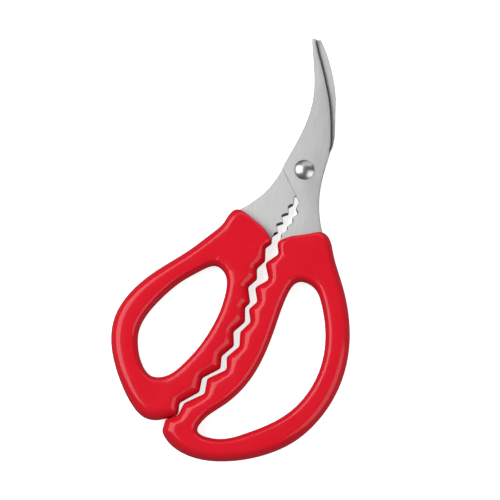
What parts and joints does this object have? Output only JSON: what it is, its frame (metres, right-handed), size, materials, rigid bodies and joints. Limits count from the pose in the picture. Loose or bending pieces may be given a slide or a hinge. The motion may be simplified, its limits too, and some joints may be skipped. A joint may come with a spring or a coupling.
{
  "type": "curved kitchen shears",
  "caption": "Closed curved-blade kitchen shears with a toothed throat, wavy cracker edges between two moulded loop handles and a domed pivot rivet.",
  "frame": {"origin": "on the surface that the closed shears lie on, under the middle of their bounding box", "axes": "+Z is the pivot axis, up through the domed rivet head; +Y runs from the handles to the blade tips; +X is towards the larger finger loop"},
  "size_m": [0.1066, 0.1988, 0.0124],
  "materials": {
    "blade_steel": "satin ground stainless steel",
    "handle_plastic": "glossy moulded red plastic",
    "rivet_steel": "polished stainless steel"
  },
  "bodies": {
    "back_half": {"back_blade": "blade_steel", "back_handle": "handle_plastic", "pivot_rivet": "rivet_steel", "tail_washer": "rivet_steel"},
    "front_half": {"front_blade": "blade_steel", "front_handle": "handle_plastic"}
  },
  "joints": [
    {"name": "blade_pivot", "type": "hinge", "parent": "back_half", "child": "front_half", "pos_m": [-0.00808, 0.04167, 0.0062], "axis": [0, 0, 1], "range_deg": [0, 70]}
  ]
}
